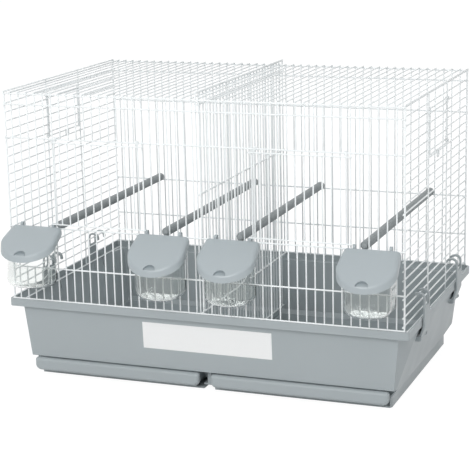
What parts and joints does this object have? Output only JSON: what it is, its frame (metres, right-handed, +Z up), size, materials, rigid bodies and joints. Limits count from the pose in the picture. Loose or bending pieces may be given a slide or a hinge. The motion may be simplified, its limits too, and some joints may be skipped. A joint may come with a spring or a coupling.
{
  "type": "breeding bird cage",
  "caption": "White wire breeding cage in two compartments with a lift-out divider, hooded feeders, perches and nest doors, on a grey plastic tray with litter drawers.",
  "frame": {"origin": "middle of the flat underside of the tray, under the middle of the wire cage", "axes": "+X to the right seen from the front, +Y to the back, +Z up; the feeders, front doors and drawers face -Y"},
  "size_m": [0.5908, 0.4178, 0.4198],
  "materials": {
    "white_wire": "white coated wire",
    "tray_plastic": "satin moulded",
    "hood_plastic": "smooth moulded",
    "clear_plastic": "clear",
    "perch_plastic": "satin moulded",
    "label_paper": "blank label"
  },
  "bodies": {
    "cage": {"tray_tub": "tray_plastic", "label_plate": "label_paper", "front_grille": "white_wire", "back_grille": "white_wire", "top_grille": "white_wire", "corner_rods": "white_wire", "left_side_grille": "white_wire", "right_side_grille": "white_wire", "left_outer_perch": "perch_plastic", "left_inner_perch": "perch_plastic", "right_inner_perch": "perch_plastic", "right_outer_perch": "perch_plastic"},
    "divider": {"divider": "white_wire"},
    "left_drawer": {"left_drawer": "tray_plastic"},
    "left_front_door": {"left_front_door": "white_wire"},
    "left_nest_door": {"left_nest_door": "white_wire"},
    "left_inner_feeder": {"left_inner_feeder_hood": "hood_plastic"},
    "left_inner_cup": {"left_inner_feeder_cup": "clear_plastic"},
    "left_outer_feeder": {"left_outer_feeder_hood": "hood_plastic"},
    "left_outer_cup": {"left_outer_feeder_cup": "clear_plastic"},
    "left_front_clip": {"left_front_clip": "tray_plastic"},
    "left_back_clip": {"left_back_clip": "tray_plastic"},
    "right_drawer": {"right_drawer": "tray_plastic"},
    "right_front_door": {"right_front_door": "white_wire"},
    "right_nest_door": {"right_nest_door": "white_wire"},
    "right_inner_feeder": {"right_inner_feeder_hood": "hood_plastic"},
    "right_inner_cup": {"right_inner_feeder_cup": "clear_plastic"},
    "right_outer_feeder": {"right_outer_feeder_hood": "hood_plastic"},
    "right_outer_cup": {"right_outer_feeder_cup": "clear_plastic"},
    "right_front_clip": {"right_front_clip": "tray_plastic"},
    "right_back_clip": {"right_back_clip": "tray_plastic"}
  },
  "joints": [
    {"name": "divider_lift", "type": "slide", "parent": "cage", "child": "divider", "axis": [0, 0, 1], "range_m": [0, 0.365]},
    {"name": "left_drawer_slide", "type": "slide", "parent": "cage", "child": "left_drawer", "axis": [0, -1, 0], "range_m": [0, 0.28]},
    {"name": "left_front_door_hinge", "type": "hinge", "parent": "cage", "child": "left_front_door", "pos_m": [-0.14588, -0.1779, 0.3481], "axis": [-1, 0, 0], "range_deg": [0, 105]},
    {"name": "left_nest_door_hinge", "type": "hinge", "parent": "cage", "child": "left_nest_door", "pos_m": [-0.2847, -0.052, 0.3582], "axis": [0, 0, 1], "range_deg": [0, 105]},
    {"name": "left_inner_feeder_hook", "type": "hinge", "parent": "cage", "child": "left_inner_feeder", "pos_m": [-0.04967, -0.1779, 0.2221], "axis": [-1, 0, 0], "range_deg": [0, 40]},
    {"name": "left_inner_cup_slide", "type": "slide", "parent": "left_inner_feeder", "child": "left_inner_cup", "axis": [0, 0, -1], "range_m": [0, 0.03]},
    {"name": "left_outer_feeder_hook", "type": "hinge", "parent": "cage", "child": "left_outer_feeder", "pos_m": [-0.24088, -0.1779, 0.2221], "axis": [-1, 0, 0], "range_deg": [0, 32]},
    {"name": "left_outer_cup_slide", "type": "slide", "parent": "left_outer_feeder", "child": "left_outer_cup", "axis": [0, -0.1392, -0.9903], "range_m": [0, 0.03]},
    {"name": "left_front_clip_hinge", "type": "hinge", "parent": "cage", "child": "left_front_clip", "pos_m": [-0.28804, -0.052, 0.0871], "axis": [0, -1, 0], "range_deg": [0, 75]},
    {"name": "left_back_clip_hinge", "type": "hinge", "parent": "cage", "child": "left_back_clip", "pos_m": [-0.28804, 0.095, 0.0871], "axis": [0, -1, 0], "range_deg": [0, 75]},
    {"name": "right_drawer_slide", "type": "slide", "parent": "cage", "child": "right_drawer", "axis": [0, -1, 0], "range_m": [0, 0.28]},
    {"name": "right_front_door_hinge", "type": "hinge", "parent": "cage", "child": "right_front_door", "pos_m": [0.14588, -0.1779, 0.3481], "axis": [-1, 0, 0], "range_deg": [0, 105]},
    {"name": "right_nest_door_hinge", "type": "hinge", "parent": "cage", "child": "right_nest_door", "pos_m": [0.2847, 0.052, 0.3582], "axis": [0, 0, 1], "range_deg": [0, 105]},
    {"name": "right_inner_feeder_hook", "type": "hinge", "parent": "cage", "child": "right_inner_feeder", "pos_m": [0.05087, -0.1779, 0.2221], "axis": [-1, 0, 0], "range_deg": [0, 40]},
    {"name": "right_inner_cup_slide", "type": "slide", "parent": "right_inner_feeder", "child": "right_inner_cup", "axis": [0, 0, -1], "range_m": [0, 0.03]},
    {"name": "right_outer_feeder_hook", "type": "hinge", "parent": "cage", "child": "right_outer_feeder", "pos_m": [0.24338, -0.1779, 0.2221], "axis": [-1, 0, 0], "range_deg": [0, 40]},
    {"name": "right_outer_cup_slide", "type": "slide", "parent": "right_outer_feeder", "child": "right_outer_cup", "axis": [0, 0, -1], "range_m": [0, 0.03]},
    {"name": "right_front_clip_hinge", "type": "hinge", "parent": "cage", "child": "right_front_clip", "pos_m": [0.28804, -0.095, 0.0871], "axis": [0, 1, 0], "range_deg": [0, 75]},
    {"name": "right_back_clip_hinge", "type": "hinge", "parent": "cage", "child": "right_back_clip", "pos_m": [0.28804, 0.095, 0.0871], "axis": [0, 1, 0], "range_deg": [0, 75]}
  ]
}
